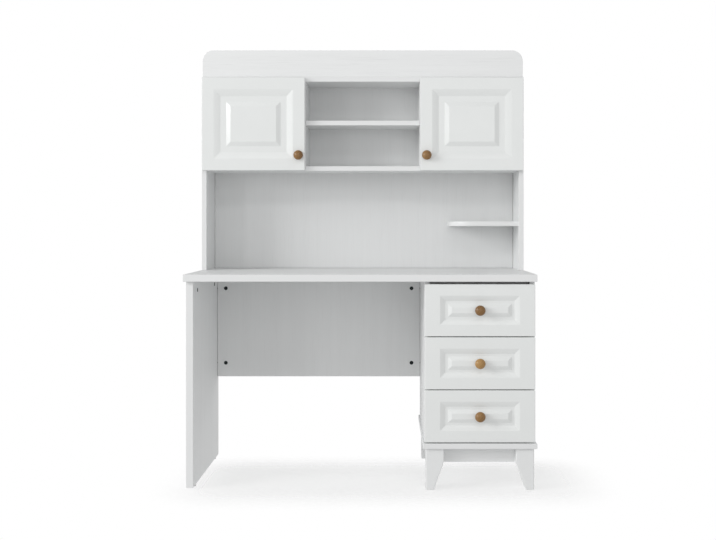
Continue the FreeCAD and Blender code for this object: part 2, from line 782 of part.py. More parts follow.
channels = []
for number, name in enumerate(DRAWERS):
    drawer_low = base_top + s.drawer_gap + number * (drawer_height + s.drawer_gap)
    front = raised_panel(name + "_front", (drawer_x, drawer_face, drawer_low), drawer_width, drawer_height,
                         s.drawer_stile, s.drawer_rail,
                         (s.drawer_outer_slope, s.drawer_groove_flat, s.drawer_inner_slope))
    box_low = drawer_low + s.box_lift
    panel_low = box_low + s.box_bottom_lift
    slot_height = s.box_bottom_thick + s.box_groove_play
    walls = []
    for wall_x, slot_x in ((box_left, box_left + s.box_wall - s.box_groove),
                           (box_right - s.box_wall, box_right - s.box_wall)):
        wall = board(name + "_side", (wall_x, drawer_back, box_low),
                     (s.box_wall, box_length, box_height), s.edge_round)
        groove(wall, (slot_x, drawer_back, panel_low), (s.box_groove, box_length, slot_height))
        walls.append(wall)
    box_rear = drawer_back + box_length
    for wall_y, slot_y in ((drawer_back, drawer_back + s.box_wall - s.box_groove),
                           (box_rear - s.box_wall, box_rear - s.box_wall)):
        wall = board(name + "_end", (box_left + s.box_wall, wall_y, box_low),
                     (box_inside, s.box_wall, box_height), s.edge_round)
        groove(wall, (box_left + s.box_wall, slot_y, panel_low), (box_inside, s.box_groove, slot_height))
        walls.append(wall)
    inner_front = walls[2]
    slot_room = s.box_groove - s.box_groove_play
    node(board(name + "_bottom",
               (box_left + s.box_wall - slot_room, drawer_back + s.box_wall - slot_room, panel_low),
               (box_inside + 2 * slot_room, box_length - 2 * s.box_wall + 2 * slot_room,
                s.box_bottom_thick)), name + "_bottom")
    knob_place = (drawer_middle, drawer_face, drawer_low + drawer_height / 2)
    screw_bore = s.screw_radius + s.fastener_play
    drill(front, knob_place, "+y", screw_bore, s.front_thick + s.overrun)
    behind_front = along(knob_place, "+y", s.front_thick)
    drill(inner_front, behind_front, "+y", screw_bore, s.box_wall + s.overrun)
    group(name + "_box", walls)
    knob(name + "_knob", knob_place)
    knob_screw(name + "_knob_screw", along(behind_front, "+y", s.box_wall + s.screw_head_height),
               s.front_thick + s.box_wall + s.knob_bore_depth - s.overrun)
    runner_low = box_low + (box_height - s.runner_height) / 2
    channels.append(bar("channel", (pedestal_inner_left, runner_y, runner_low), CHANNEL, runner_length))
    channels.append(bar("channel", (pedestal_inner_right - s.runner_depth, runner_y, runner_low),
                        mirrored(CHANNEL, s.runner_depth), runner_length))
    rail_z = runner_low + v_low + s.runner_play
    rails = [bar("rail", (box_left - rail_reach, runner_y, rail_z), RAIL, runner_length),
             bar("rail", (box_right, runner_y, rail_z), mirrored(RAIL, rail_reach), runner_length)]
    group(name + "_rails", rails)
group("runner_channels", channels)

# Doors with their knobs and hinges
door_back = hutch_front - s.door_gap
door_face = door_back - s.front_thick
door_low = bay_top + s.door_bottom_reveal
door_outer = half_width - s.door_reveal
door_width = door_outer - niche_half - s.door_niche_reveal
door_height = hutch_roof - s.door_top_reveal - door_low
cup_offset = s.cup_edge + s.cup_radius
arm_inner = s.board_thick - s.door_reveal - s.hinge_pin_inset + s.plate_thick
arm_outer = arm_inner + s.arm_thick
neck_outer = cup_offset - s.hinge_pin_inset + s.neck_thick / 2
neck_inner = neck_outer - s.neck_thick
neck_run = s.hinge_pin_depth + s.neck_thick / 2 + s.door_gap + s.arm_setback
arm_end = neck_run + s.arm_length
GOOSE_NECK = [
    (0, 0), (neck_outer, 0), (neck_outer, neck_run), (arm_outer, neck_run), (arm_outer, arm_end),
    (arm_inner, arm_end), (arm_inner, neck_run + s.neck_thick), (neck_inner, neck_run + s.neck_thick),
    (neck_inner, s.neck_thick), (0, s.neck_thick),
]


def hinge_cup(at, sign):
    """Cup sunk in the door's back, with its wing plate and the pin near the door's outer edge."""
    body = new_body("cup", at)
    shell = body.newObject("PartDesign::AdditiveCylinder", "cup_shell")
    bind(shell, Radius=s.cup_radius - s.fastener_play, Height=s.cup_depth - s.fastener_play)
    put(shell, (0, 0, 0), TURNS["-y"])
    wing = body.newObject("PartDesign::AdditiveBox", "cup_wing")
    bind(wing, Length=s.cup_wing_width, Width=s.cup_wall, Height=s.cup_wing_height)
    put(wing, (-s.cup_wing_width / 2, 0, -s.cup_wing_height / 2))
    hollow = body.newObject("PartDesign::SubtractiveCylinder", "cup_hollow")
    bind(hollow, Radius=s.cup_radius - s.fastener_play - s.cup_wall,
         Height=s.cup_depth - s.fastener_play + s.overrun)
    put(hollow, (0, s.cup_wall + s.overrun, 0), TURNS["-y"])
    pin = body.newObject("PartDesign::AdditiveCylinder", "cup_pin")
    bind(pin, Radius=s.hinge_pin_radius, Height=2 * s.hinge_pin_half)
    put(pin, (sign * (cup_offset - s.hinge_pin_inset), -s.hinge_pin_depth, -s.hinge_pin_half))
    return body


def hinge_arm(pin_x, hinge_z, sign):
    """Goose-neck arm: an eye round the pin, a neck out of the cup and a straight arm on the plate."""
    points = GOOSE_NECK if sign < 0 else mirrored(GOOSE_NECK, arm_outer)
    start_x = pin_x if sign < 0 else pin_x - arm_outer
    eye_x = as_size(0) if sign < 0 else arm_outer
    front_y = door_back - s.hinge_pin_depth - s.neck_thick / 2
    body = new_body("arm", (start_x, front_y, hinge_z - s.arm_width / 2))
    profile = outline(body, "arm_profile", "XY_Plane", points)
    strip = body.newObject("PartDesign::Pad", "arm_strip")
    strip.Profile = profile
    bind(strip, Length=s.arm_width)
    eye = body.newObject("PartDesign::AdditiveCylinder", "arm_eye")
    bind(eye, Radius=s.hinge_eye_radius, Height=s.arm_width)
    put(eye, (eye_x, s.neck_thick / 2, 0))
    bore = body.newObject("PartDesign::SubtractiveCylinder", "arm_bore")
    bind(bore, Radius=s.hinge_pin_radius + s.hinge_pin_play, Height=s.arm_width + 2 * s.overrun)
    put(bore, (eye_x, s.neck_thick / 2, -s.overrun))
    return body


arms = []
plates = []
for label, sign in (("left", -1), ("right", 1)):
    outer_x = sign * door_outer
    door_x = outer_x if sign < 0 else outer_x - door_width
    inner_x = outer_x - sign * door_width
    name = label + "_door"
    door = raised_panel(name, (door_x, door_face, door_low), door_width, door_height,
                        s.door_stile, s.door_rail,
                        (s.door_outer_slope, s.door_groove_flat, s.door_inner_slope))
    cups = []
    for hinge_z in (door_low + s.hinge_inset, door_low + door_height - s.hinge_inset):
        cup_place = (outer_x - sign * cup_offset, door_back, hinge_z)
        drill(door, cup_place, "-y", s.cup_radius, s.cup_depth)
        cups.append(hinge_cup(cup_place, sign))
        arms.append(hinge_arm(outer_x - sign * s.hinge_pin_inset, hinge_z, sign))
        plate_x = -hutch_inner if sign < 0 else hutch_inner - s.plate_thick
        plates.append(board("plate", (plate_x, hutch_front + s.arm_setback + s.neck_thick,
                                      hinge_z - s.plate_height / 2),
                            (s.plate_thick, s.plate_length, s.plate_height)))
    knob_place = (inner_x + sign * s.door_knob_inset, door_face, door_low + s.door_knob_lift)
    drill(door, knob_place, "+y", s.screw_radius + s.fastener_play, s.front_thick + s.overrun)
    group(label + "_hinge_cups", cups)
    knob(name + "_knob", knob_place)
    knob_screw(name + "_knob_screw", along(knob_place, "+y", s.front_thick + s.screw_head_height),
               s.front_thick + s.knob_bore_depth - s.overrun)
group("hinge_arms", arms)
group("hinge_plates", plates)

# Every object has to be sound before anything is written
doc.recompute()
for item in doc.Objects:
    if "Invalid" in item.State or "Error" in item.State:
        raise RuntimeError(f"{item.Label} failed: {item.State}")
os.makedirs("parts", exist_ok=True)
for piece in nodes:
    if piece.Shape.isNull() or not piece.Shape.isValid():
        raise RuntimeError(f"{piece.Label} has no sound shape")
    piece.Shape.exportStep(f"parts/{piece.Label}.step")
print(len(nodes), "nodes", sum(len(piece.Shape.Solids) for piece in nodes), "solids")
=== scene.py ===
"""Student desk with a drawer pedestal and a hutch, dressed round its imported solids."""

import math

import bmesh
import bpy
from bpy.props import FloatProperty, FloatVectorProperty, PointerProperty
from mathutils import Matrix, Vector


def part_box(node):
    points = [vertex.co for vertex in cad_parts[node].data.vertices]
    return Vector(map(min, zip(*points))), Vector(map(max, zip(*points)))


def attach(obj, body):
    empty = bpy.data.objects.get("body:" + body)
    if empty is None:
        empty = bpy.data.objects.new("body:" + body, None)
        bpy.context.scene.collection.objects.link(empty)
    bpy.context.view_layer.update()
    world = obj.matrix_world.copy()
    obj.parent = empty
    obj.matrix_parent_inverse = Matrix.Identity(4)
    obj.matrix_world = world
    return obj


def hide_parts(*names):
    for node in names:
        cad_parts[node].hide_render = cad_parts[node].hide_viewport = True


bl_info = {
    "name": "Student desk with hutch",
    "version": (1, 0, 0),
    "blender": (4, 5, 0),
    "location": "View3D > Sidebar > Desk",
    "description": "Routed fronts, board finishes, turned knobs and fittings of a white student desk",
    "category": "Object",
}

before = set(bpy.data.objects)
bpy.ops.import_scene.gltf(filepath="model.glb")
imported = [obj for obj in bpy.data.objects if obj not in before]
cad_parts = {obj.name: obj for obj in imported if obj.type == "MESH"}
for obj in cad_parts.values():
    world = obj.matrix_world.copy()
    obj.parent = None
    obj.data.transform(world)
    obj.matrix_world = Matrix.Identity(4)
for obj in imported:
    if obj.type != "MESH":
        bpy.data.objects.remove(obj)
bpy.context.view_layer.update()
MM = 0.001
PHOTO_WIDTH, PHOTO_HEIGHT = 716, 540
SENSOR_WIDTH = 36.0

DRAWERS = ("lower_drawer", "middle_drawer", "upper_drawer")
DOORS = ("left_door", "right_door")
LONG_BOARDS = ("desktop", "hutch_top_board", "hutch_bottom_board", "niche_shelf", "pedestal_base_board",
               "pedestal_top_rails")
FACING_BOARDS = ("crown_board", "front_apron", "rear_apron")
UPRIGHT_BOARDS = ("left_end_panel", "pedestal_left_side", "pedestal_right_side", "hutch_left_side",
                  "hutch_right_side", "left_divider", "right_divider", "front_left_leg", "front_right_leg",
                  "rear_left_leg", "rear_right_leg")
DEEP_BOARDS = ("side_aprons",)
BACKING_BOARDS = ("modesty_panel", "hutch_back_panel", "pedestal_back_panel")
ZINC_NODES = ("hinge_plates", "hinge_arms", "runner_channels", "left_hinge_cups", "right_hinge_cups")

# How much longer a pore is than it is wide, along each axis, for each way that the grain can run
GRAIN = {"x": (30.0, 1.0, 1.0), "y": (1.0, 30.0, 1.0), "z": (1.0, 1.0, 30.0)}
EVEN = (1.0, 1.0, 1.0)
WHITE = (1.0, 1.0, 1.0, 1.0)

# Melamine finishes: the material's name, the way of its grain, its colour and whether its edges have a band
MELAMINE = {
    "board_x": ("melamine_board_grain_x", "x", "board", True),
    "board_y": ("melamine_board_grain_y", "y", "board", False),
    "board_z": ("melamine_board_grain_z", "z", "board", True),
    "facing": ("melamine_facing_board", "x", "board", False),
    "backing": ("melamine_backing_board", "z", "backing", False),
}

# Finishes with one fine grain: the material's name, the grain's size in millimetres and its stretch, the
# least and the most roughness, the grain's depth in millimetres, and how metallic it is
GRAINED = {
    # Steel strip, rolled, pressed and zinc-plated: a cool grey shine, with faint lines along the strip. The
    # lines are far under 0.1 mm apart, and are drawn 1.2 mm apart so that they show.
    "zinc": ("zinc_plated_steel", 1.2, (1.0, 25.0, 1.0), (0.28, 0.44), 0.01, 1.0),
    # Steel rod, turned and bright zinc-plated: a pale, soft shine.
    "bright": ("bright_zinc_plated_rod", 0.8, EVEN, (0.45, 0.55), 0.01, 1.0),
    # Zinc alloy, die-cast and blackened: a dark, slightly mottled lustre with a cast grain.
    "cast": ("blackened_die_cast", 1.2, EVEN, (0.34, 0.50), 0.05, 0.85),
    # Nylon, injection-moulded in a sparked mould: a dull grey with a fine grain.
    "nylon": ("moulded_nylon", 0.9, EVEN, (0.42, 0.55), 0.03, 0.0),
    # Beech rod, planed: pale bare wood with flecks about 0.8 mm by 5 mm.
    "beech": ("planed_beech", 0.8, (6.0, 1.0, 6.0), (0.55, 0.70), 0.04, 0.0),
}

# Kinds of node that the materials use most
RANGE = "ShaderNodeMapRange"
NOISE = "ShaderNodeTexNoise"
MAPPING = "ShaderNodeMapping"
MIX = "ShaderNodeMix"
MATH = "ShaderNodeMath"
VECTOR_MATH = "ShaderNodeVectorMath"

# Fineness of the meshes: how many steps or sides each curve has
EDGE_STEPS = 8
SLOPE_STEPS = 10
EASE_STEPS = 4
CORNER_STEPS = 4
SHELF_STEPS = 24
SHELF_EDGE_STEPS = 3
BORE_SIDES = 48
KNOB_SIDES = 56
KNOB_STEPS = 14
TACK_SIDES, TACK_RINGS = 14, 8
RECESS_STEPS = 3
FLOOR_SIDES = 96

# Points nearer to each other than this are merged
MERGE = 0.005 * MM
# How far a bore's cutter passes the surface that it opens
OVERRUN = 1 * MM
# Shares of the sides before and after a section's corner that its rounding may take up
EASE_BEFORE, EASE_AFTER = 0.9, 0.4

# Angles from which a line between two faces stays sharp
FRONT_CREASE = math.radians(15)
SHELF_CREASE = math.radians(25)
KNOB_CREASE = math.radians(30)
HEAD_CREASE = math.radians(35)

# Heads of radius 1: rings of (radius, height), and the arm, half width and depth of the cross recess
CAM_HEAD = ((1.0, -0.05), (1.0, 0.05), (0.95, 0.10), (0.78, 0.10), (0.74, 0.06)), (0.52, 0.13, 0.18)
PAN_HEAD = ((0.94, -0.04), (1.0, 0.04), (0.97, 0.20), (0.88, 0.34), (0.72, 0.44)), (0.50, 0.12, 0.26)
RECESS_TAPER = 0.72
CAM_SEED, WING_SEED, PLATE_SEED, KNOB_SEED = 3, 5, 7, 11

# Softboxes: name, place, width and height in metres, and the setting that holds the power
SOFTBOXES = (
    ("key_softbox", (-7.0, -3.6, 3.4), (3.4, 3.4), "key_power"),
    ("fill_softbox", (0.9, -5.4, 1.5), (2.6, 2.6), "fill_power"),
    ("right_softbox", (6.6, -3.6, 2.4), (3.4, 3.4), "right_power"),
    ("rear_softbox", (4.2, 5.4, 2.6), (3.4, 3.4), "rear_power"),
    ("side_strip", (-3.6, -4.8, 1.6), (0.5, 2.6), "side_power"),
    ("top_strip", (0.0, -4.6, 3.8), (2.6, 0.5), "top_power"),
)
SOFTBOX_AIM = (0.0, 0.0, 0.8)


def linear(hex_colour):
    """Linear colour, with full alpha, of an sRGB hex value."""
    channels = [int(hex_colour[i:i + 2], 16) / 255 for i in (1, 3, 5)]
    return [c / 12.92 if c <= 0.04045 else ((c + 0.055) / 1.055) ** 2.4 for c in channels] + [1.0]


def number(name, description, value, **settings):
    """A number property."""
    return FloatProperty(name=name, description=description, default=value, **settings)


def length(name, description, millimetres):
    """A length property, given in millimetres and kept in metres."""
    return number(name, description, millimetres * MM, min=0.0, unit="LENGTH")


def spot(name, description, metres):
    """A property for a place or a size along the three axes, in metres."""
    return FloatVectorProperty(
        name=name, description=description, default=metres, subtype="TRANSLATION", unit="LENGTH")


def tint(name, description, hex_colour):
    """A colour property, given as an sRGB hex value."""
    return FloatVectorProperty(
        name=name, description=description, default=linear(hex_colour), size=4, min=0.0, max=1.0,
        subtype="COLOR")


class DeskSizes(bpy.types.PropertyGroup):
    """Sizes of what is shaped here, on top of the solids"""

    edge_round: length("Front edge round", "Radius of the rolled edge round a front", 2.0)
    corner_round: length("Front corner round", "Radius of a front's corner, seen from the front", 2.4)
    arris: length("Arris", "Rounding left on the sharp lines of a front", 0.4)
    groove_depth: length("Groove depth", "Depth of the routed groove round a raised panel", 8.0)
    slope_start: number("Slope start", "Share of its turn that an outer slope makes where it starts", 0.4,
                        min=0.0, max=0.5)
    groove_ease: length("Groove ease", "Radius where a side of the groove meets its flat", 1.4)
    bevel_ease: length("Bevel ease", "Radius where the bevel meets the field", 3.0)
    drawer_stile: length("Drawer stile", "Flat border at the ends of a drawer front", 53.0)
    drawer_rail: length("Drawer rail", "Flat border at the top and bottom", 39.5)
    drawer_outer: length("Drawer outer slope", "Width of the slope down from the border", 18.5)
    drawer_flat: length("Drawer groove flat", "Width of the flat in the groove", 9.5)
    drawer_inner: length("Drawer bevel", "Width of the bevel up to the field", 13.0)
    door_stile: length("Door stile", "Flat border at the sides of a door", 44.0)
    door_rail: length("Door rail", "Flat border at the top and bottom", 44.0)
    door_outer: length("Door outer slope", "Width of the slope down from the border", 26.0)
    door_flat: length("Door groove flat", "Width of the flat in the groove", 22.5)
    door_inner: length("Door bevel", "Width of the bevel up to the field", 17.0)
    cup_radius: length("Hinge bore radius", "Radius of the bore for a hinge cup", 17.5)
    cup_depth: length("Hinge bore depth", "Depth of the bore for a hinge cup", 12.5)
    cup_edge: length("Hinge bore edge", "Wood left between a hinge bore and the door's edge", 4.0)
    hinge_inset: length("Hinge inset", "From a door's top or bottom edge to its hinge", 72.0)
    screw_hole: length("Knob screw hole", "Radius of the hole for a knob's screw", 2.1)
    cam_radius: length("Cam radius", "Radius of a cam's head", 7.3)
    cam_edge: length("Cam edge", "From a joint to the middle of its cam", 34.0)
    cam_inset: length("Cam inset", "From the modesty panel's top or bottom edge to its cams", 54.0)
    cam_front: length("Cam front", "From the desktop's front edge to the uprights' front cams", 108.0)
    cam_rear: length("Cam rear", "From the desktop's rear edge to the uprights' rear cams", 110.0)
    plate_thick: length("Plate thickness", "Thickness of a hinge plate", 4.0)
    plate_screw: length("Plate screw radius", "Radius of the screw heads on hinge plates and cups", 3.4)
    plate_spread: length("Plate screw spread", "From a hinge's middle to the screws of its plate", 16.0)
    wing_spread: length("Wing screw spread", "From a hinge's middle to the screws of its cup", 24.0)
    knob_foot: length("Knob foot radius", "Radius of the foot that a knob stands on", 9.5)
    knob_foot_height: length("Knob foot height", "Height of a knob's foot", 2.0)
    knob_neck: length("Knob neck radius", "Radius of a knob where it is thinnest", 7.0)
    knob_neck_height: length("Knob neck height", "From a front to the thinnest part of its knob", 4.5)
    knob_brim: length("Knob brim", "How far the round edge under a knob's head reaches in", 4.0)
    knob_brim_height: length("Knob brim height", "From a front to the underside of its knob's head", 9.0)
    knob_widest: length("Knob widest height", "From a front to the widest part of its knob", 13.5)
    knob_screw: length("Knob screw radius", "Radius of a knob screw's head", 4.2)
    shelf_corner: length("Shelf corner", "Radius of the corner shelf's round corner", 90.0)
    shelf_trim: length("Shelf trim", "How far the corner shelf's free end stays inside its solid", 9.0)
    board_round: length("Board edge round", "Radius of the corner shelf's edges", 1.0)
    tack_radius: length("Tack radius", "Radius of the heads of the tacks in a back", 2.4)
    tack_height: length("Tack height", "How far a tack's head stands proud", 0.9)
    tack_spacing: length("Tack spacing", "From tack to tack along a board", 95.0)
    tack_inset: length("Tack inset", "From a board's end to its first tack", 24.0)


class DeskColours(bpy.types.PropertyGroup):
    """Colours of the desk's finishes"""

    foil: tint("Foil", "White foil pressed over the routed fronts", "#E9EBEA")
    foil_shade: tint("Foil shade", "Foil where the press thinned it", "#E7E9E8")
    board: tint("Board", "White melamine of the boards", "#EBECEC")
    board_pore: tint("Board pore", "Pressed pores of the melamine", "#E3E4E4")
    edge_band: tint("Edge band", "Band on the boards' front and rear edges", "#E6E7E7")
    backing: tint("Backing", "Greyer white of the backing boards", "#E1E2E2")
    backing_pore: tint("Backing pore", "Pressed pores of the backing boards", "#DCDDDD")
    wood: tint("Wood", "Stained wood of the knobs", "#C0965A")
    wood_dark: tint("Dark wood", "Late wood in the knobs' growth rings", "#48220A")
    zinc: tint("Zinc", "Zinc plating of the runners and hinges", "#C3C6C9")
    zinc_dull: tint("Dull zinc", "Zinc plating along its duller rolling lines", "#A8ABAE")
    bright: tint("Bright zinc", "Bright plating of the shelf pins", "#F2F2F0")
    bright_dull: tint("Dull bright zinc", "Bright plating in the hollows of its grain", "#E6E6E4")
    cast: tint("Cast", "Dark finish of the cam heads", "#2E3233")
    cast_dull: tint("Dull cast", "Dark finish in the hollows of its grain", "#282B2C")
    nylon: tint("Nylon", "Moulded glides and pads", "#8E8F8F")
    nylon_dull: tint("Dull nylon", "Moulded glides and pads in the hollows of their grain", "#808181")
    beech: tint("Beech", "Bare beech of the dowels", "#D9B98C")
    beech_dull: tint("Dull beech", "Flecks in the bare beech", "#B99D76")
    floor: tint("Floor", "Paint of the studio floor", "#F4F4F4")


class StudioSettings(bpy.types.PropertyGroup):
    """Camera, lights and floor of the studio"""

    camera_place: spot("Camera place", "Where the camera stands", (0.1005, -4.0915, 0.9185))
    focal_pixels: number("Focal length", "Focal length in pixels of the photograph", 1096.7)
    centre_x: number("Axis across", "Where the camera's axis meets the picture, from its left", 389.0)
    centre_y: number("Axis down", "Where the camera's axis meets the picture, from its top", 226.0)
    key_power: number("Key light", "Power of the large light at the upper left", 308.0, unit="POWER")
    fill_power: number("Fill light", "Power of the light behind the camera", 21.0, unit="POWER")
    right_power: number("Right light", "Power of the weak light at the right", 14.0, unit="POWER")
    side_power: number("Side strip", "Power of the upright strip that slopes mirror", 18.0, unit="POWER")
    top_power: number("Top strip", "Power of the level strip that slopes mirror", 18.0, unit="POWER")
    rear_power: number("Rear light", "Power of the light behind the desk", 70.0, unit="POWER")
    ambient: number("Ambient", "Strength of the soft light from above", 0.53)
    bounce: number("Bounce", "Strength of the light that the pale floor throws back", 0.605)
    floor_radius: length("Floor radius", "Radius of the floor", 9000.0)
    shade_centre: spot("Shade centre", "Middle of the shaded patch of floor", (0.09, -0.13, 0.0))
    shade_half: spot("Shade half size", "Half the shaded patch's width and depth", (0.54, 0.14, 0.0))
    fade_width: length("Fade width", "Distance over which the floor turns white", 300.0)
    floor_lift: number("Floor lift", "Share of the white background in the floor's shadow", 0.62,
                       min=0.0, max=1.0)


def sizes():
    return bpy.context.scene.desk_sizes


def colours():
    return bpy.context.scene.desk_colours


# Nodes and materials. A Mix node's share is input 0, its numbers are inputs 2 and 3 with output 0, and its
# colours are inputs 6 and 7 with output 2.


def add(tree, kind, inputs=None, **settings):
    """A node with its settings, and its inputs set to a value or linked from a node's output, which is the
    first one where only the node is given."""
    node = tree.nodes.new(kind)
    for name, value in settings.items():
        setattr(node, name, value)
    for key, value in (inputs or {}).items():
        if isinstance(value, bpy.types.Node):
            value = value.outputs[0]
        if isinstance(value, bpy.types.NodeSocket):
            tree.links.new(value, node.inputs[key])
        else:
            node.inputs[key].default_value = value
    return node


def blank(name):
    """A named material with an empty tree: the material, its tree and the object's own coordinates."""
    material = bpy.data.materials.new(name)
    material.use_nodes = True
    tree = material.node_tree
    tree.nodes.clear()
    return material, tree, add(tree, "ShaderNodeTexCoord").outputs["Object"]


def shade(tree, inputs, height, depth):
    """Ends a material: its shader, with a bump of a depth in metres."""
    bump = add(tree, "ShaderNodeBump", {"Height": height, "Strength": 1.0, "Distance": depth})
    shader = add(tree, "ShaderNodeBsdfPrincipled", dict(inputs, Normal=bump))
    add(tree, "ShaderNodeOutputMaterial", {"Surface": shader})


def grains(size, stretch):
    """Scale of a pattern whose grains have a size in metres, stretched along each axis."""
    return [1 / (size * factor) for factor in stretch]


def membrane_foil():
    """PVC foil, vacuum-pressed over routed fibreboard: an even satin white with soft highlights."""
    material, tree, place = blank("vacuum_pressed_white_foil")
    # The press leaves broad patches about 70 mm across that are a little thinner and duller.
    patches = add(tree, NOISE, {"Vector": place, "Scale": 1 / (70 * MM), "Detail": 2.0})
    thin = add(tree, RANGE, {"Value": patches, "From Min": 0.2, "From Max": 0.8})
    colour = add(tree, MIX, {0: thin, 6: colours().foil, 7: colours().foil_shade}, data_type="RGBA")
    gloss = add(tree, RANGE, {"Value": thin, "To Min": 0.25, "To Max": 0.27})
    # Its orange peel, about 1.5 mm from wave to wave, is drawn at 5 mm so that it shows.
    peel = add(tree, NOISE, {"Vector": place, "Scale": 1 / (5 * MM), "Detail": 1.0})
    shade(tree, {"Base Color": colour.outputs[2], "Roughness": gloss, "IOR": 1.5}, peel, 0.006 * MM)
    return material


def melamine(name, grain, tone, banded):
    """Melamine paper on chipboard, pressed against a wood-pore plate: matt white, with faint streaks along
    the grain and a plainer, glossier ABS band on the front and rear edges of a banded board."""
    material, tree, place = blank(name)
    stretch = GRAIN[grain]
    face, pore = getattr(colours(), tone), getattr(colours(), tone + "_pore")
    # Pores are about 0.3 mm wide and 10 mm long. They are drawn 10 times as large so that they show.
    fine = add(tree, MAPPING, {"Vector": place, "Scale": grains(3 * MM, stretch)})
    pores = add(tree, NOISE, {"Vector": fine, "Scale": 1.0, "Detail": 3.0})
    dents = add(tree, RANGE, {"Value": pores, "From Min": 0.50, "From Max": 0.72})
    # The printed figure under them runs in bands about 25 mm wide.
    broad = add(tree, MAPPING, {"Vector": place, "Scale": grains(25 * MM, stretch)})
    figure = add(tree, NOISE, {"Vector": broad, "Scale": 1.0, "Detail": 2.0})
    bands = add(tree, RANGE, {"Value": figure, "From Min": 0.30, "From Max": 0.75})
    streaks = add(tree, MATH, {0: dents, 1: bands}, operation="MULTIPLY")
    mark = add(tree, MATH, {0: bands, 1: 0.35, 2: streaks}, operation="MULTIPLY_ADD")
    colour = add(tree, MIX, {0: mark, 6: face, 7: pore}, data_type="RGBA")
    gloss = add(tree, RANGE, {"Value": dents, "To Min": 0.40, "To Max": 0.52})
    if banded:
        # The band is on what looks to the front or the rear.
        normal = add(tree, "ShaderNodeTexCoord").outputs["Normal"]
        facing = add(tree, "ShaderNodeSeparateXYZ", {0: normal})
        along = add(tree, MATH, {0: facing.outputs["Y"]}, operation="ABSOLUTE")
        band = add(tree, RANGE, {"Value": along, "From Min": 0.6, "From Max": 0.9})
        colour = add(tree, MIX, {0: band, 6: colour.outputs[2], 7: colours().edge_band}, data_type="RGBA")
        gloss = add(tree, MIX, {0: band, 2: gloss, 3: 0.34})
    shade(tree, {"Base Color": colour.outputs[2], "Roughness": gloss, "IOR": 1.5}, dents, -0.05 * MM)
    return material


def turned_wood():
    """Beech turned on a lathe, stained and lacquered: growth rings and fine fibres under a soft gloss."""
    material, tree, place = blank("stained_turned_beech")
    # Growth rings are about 3 mm apart, and are drawn 4.5 mm apart so that they show. Each darkens slowly
    # and ends sharply. A wave has 20 radians to the metre at scale 1.
    turned = add(tree, MAPPING, {"Vector": place, "Rotation": (0.5, 0.35, 0.4)})
    rings = add(tree, "ShaderNodeTexWave", {
        "Vector": turned, "Scale": math.tau / 20 / (4.5 * MM), "Distortion": 2.2, "Detail": 2.0,
        "Detail Scale": 0.8}, wave_profile="SAW")
    late = add(tree, RANGE, {"Value": rings.outputs[1], "From Min": 0.35, "To Max": 0.34})
    # Each knob is cut from another blank, so its tone follows a broad pattern of about 130 mm.
    stock = add(tree, MAPPING, {"Vector": place, "Location": (0.19, 0.05, 0.024)})
    blanks = add(tree, NOISE, {"Vector": stock, "Scale": 1 / (130 * MM), "Detail": 0.0})
    tone = add(tree, RANGE, {
        "Value": blanks, "From Min": 0.3, "From Max": 0.7, "To Min": 0.05, "To Max": 0.6})
    share = add(tree, MATH, {0: late, 1: tone}, operation="ADD")
    ringed = add(tree, MIX, {0: share, 6: colours().wood, 7: colours().wood_dark}, data_type="RGBA")
    # Fibres and rays, about 0.3 mm by 4 mm, are drawn twice as large so that they show.
    along = add(tree, MAPPING, {"Vector": turned, "Scale": (1 / (0.6 * MM), 1 / (0.6 * MM), 1 / (8 * MM))})
    fibres = add(tree, NOISE, {"Vector": along, "Scale": 1.0, "Detail": 2.0})
    ray = add(tree, RANGE, {"Value": fibres, "From Min": 0.48, "From Max": 0.75, "To Max": 0.45})
    colour = add(tree, MIX, {0: ray, 6: ringed.outputs[2], 7: colours().wood_dark}, data_type="RGBA")
    gloss = add(tree, RANGE, {
        "Value": fibres, "From Min": 0.3, "From Max": 0.7, "To Min": 0.34, "To Max": 0.46})
    shade(tree, {"Base Color": colour.outputs[2], "Roughness": gloss, "Coat Weight": 0.45,
                 "Coat Roughness": 0.3, "Specular IOR Level": 0.3}, fibres, 0.03 * MM)
    return material


def grained(kind, name, size, stretch, rough, depth, metallic):
    """A finish whose colour, roughness and bump follow the same grain."""
    material, tree, place = blank(name)
    sized = add(tree, MAPPING, {"Vector": place, "Scale": grains(size * MM, stretch)})
    specks = add(tree, NOISE, {"Vector": sized, "Scale": 1.0, "Detail": 2.0})
    share = add(tree, RANGE, {"Value": specks, "From Min": 0.35, "From Max": 0.70})
    clear, dull = getattr(colours(), kind), getattr(colours(), kind + "_dull")
    colour = add(tree, MIX, {0: share, 6: clear, 7: dull}, data_type="RGBA")
    gloss = add(tree, RANGE, {"Value": share, "To Min": rough[0], "To Max": rough[1]})
    shade(tree, {"Base Color": colour.outputs[2], "Roughness": gloss, "Metallic": metallic}, specks,
          depth * MM)
    return material


FINISHES = {}


def finish(kind):
    """The material of a finish, made when it is first asked for."""
    if kind not in FINISHES:
        if kind in MELAMINE:
            FINISHES[kind] = melamine(*MELAMINE[kind])
        elif kind in GRAINED:
            FINISHES[kind] = grained(kind, *GRAINED[kind])
        else:
            FINISHES[kind] = membrane_foil() if kind == "foil" else turned_wood()
    return FINISHES[kind]


def dress(kind, *nodes):
    """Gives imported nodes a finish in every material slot."""
    for name in nodes:
        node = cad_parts[name]
        if not node.material_slots:
            node.data.materials.append(None)
        for holder in node.material_slots:
            holder.link = "OBJECT"
            holder.material = finish(kind)


# Meshes


def linked(name, data):
    """An object for a mesh, a light or a camera, in the scene."""
    piece = bpy.data.objects.new(name, data)
    bpy.context.scene.collection.objects.link(piece)
    return piece


